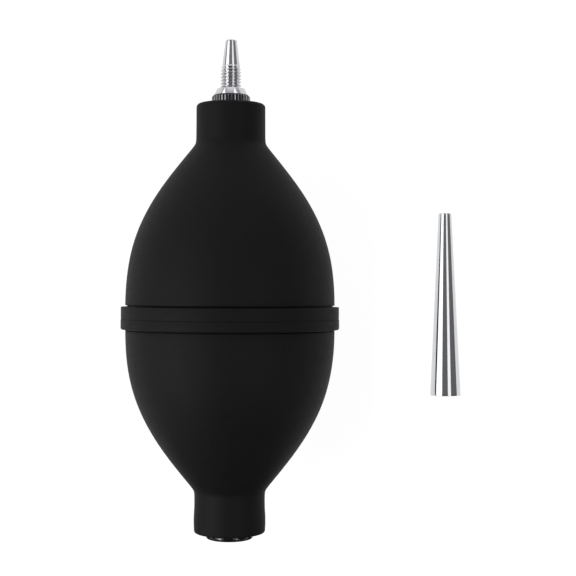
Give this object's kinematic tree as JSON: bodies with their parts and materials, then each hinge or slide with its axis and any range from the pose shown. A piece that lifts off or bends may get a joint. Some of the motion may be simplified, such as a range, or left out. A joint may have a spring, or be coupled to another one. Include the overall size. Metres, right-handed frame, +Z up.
{
  "type": "dust blower",
  "caption": "Hand-squeezed rubber air bulb with a screw-in metal nozzle, a one-way inlet valve and a long tip that fits over the nozzle.",
  "frame": {"origin": "the point of the table under the middle of the band, where the bulb rests", "axes": "+Z up from the table; +Y along the bulb's axis, towards the nozzle; +X towards the long tip that lies beside it"},
  "size_m": [0.0969, 0.1372, 0.06],
  "materials": {
    "bulb_rubber": "matte moulded rubber",
    "seal_rubber": "smooth rubber",
    "polished_metal": "polished chrome plate",
    "valve_plastic": "glossy moulded plastic",
    "bush_metal": "turned",
    "ball_steel": "polished bearing ball",
    "spring_wire": "drawn wire",
    "gauze": "woven wire"
  },
  "bodies": {
    "bulb": {"bulb_upper_half": "bulb_rubber", "bulb_lower_half": "bulb_rubber"},
    "nozzle_end": {"nozzle_bush": "bush_metal"},
    "nozzle_seal": {"nozzle_o_ring": "seal_rubber"},
    "nozzle": {"nozzle": "polished_metal"},
    "valve_end": {"valve_body": "valve_plastic", "valve_seat": "seal_rubber", "valve_spring": "spring_wire", "spring_retainer": "bush_metal", "inlet_screen": "gauze", "screen_ring": "spring_wire"},
    "ball": {"valve_ball": "ball_steel"},
    "long_tip": {"long_tip": "polished_metal"}
  },
  "joints": [
    {"name": "nozzle_end_press", "type": "slide", "parent": "bulb", "child": "nozzle_end", "axis": [0, -1, 0], "range_m": [0, 0.012], "stiffness_N_per_m": 1500, "deforming": ["bulb_upper_half"]},
    {"name": "valve_end_press", "type": "slide", "parent": "bulb", "child": "valve_end", "axis": [0, 1, 0], "range_m": [0, 0.012], "stiffness_N_per_m": 1500, "deforming": ["bulb_lower_half"]},
    {"name": "nozzle_rise", "type": "slide", "parent": "nozzle_end", "child": "nozzle_seal", "axis": [0, 1, 0], "range_m": [0, 0.0048]},
    {"name": "nozzle_turn", "type": "hinge", "parent": "nozzle_seal", "child": "nozzle", "pos_m": [0, 0.06, 0.03], "axis": [0, 1, 0], "range_deg": [0, 2160]},
    {"name": "ball_lift", "type": "slide", "parent": "valve_end", "child": "ball", "axis": [0, 1, 0], "range_m": [0, 0.0012], "stiffness_N_per_m": 20, "deforming": ["valve_spring"]},
    {"name": "long_tip_lift", "type": "slide", "parent": "bulb", "child": "long_tip", "axis": [0, 0, 1], "range_m": [0, 0.07]}
  ],
  "couplings": [
    {"joint": "valve_end_press", "follows": "nozzle_end_press", "ratio": 1},
    {"joint": "nozzle_turn", "follows": "nozzle_rise", "rad_per_m": 7854}
  ]
}
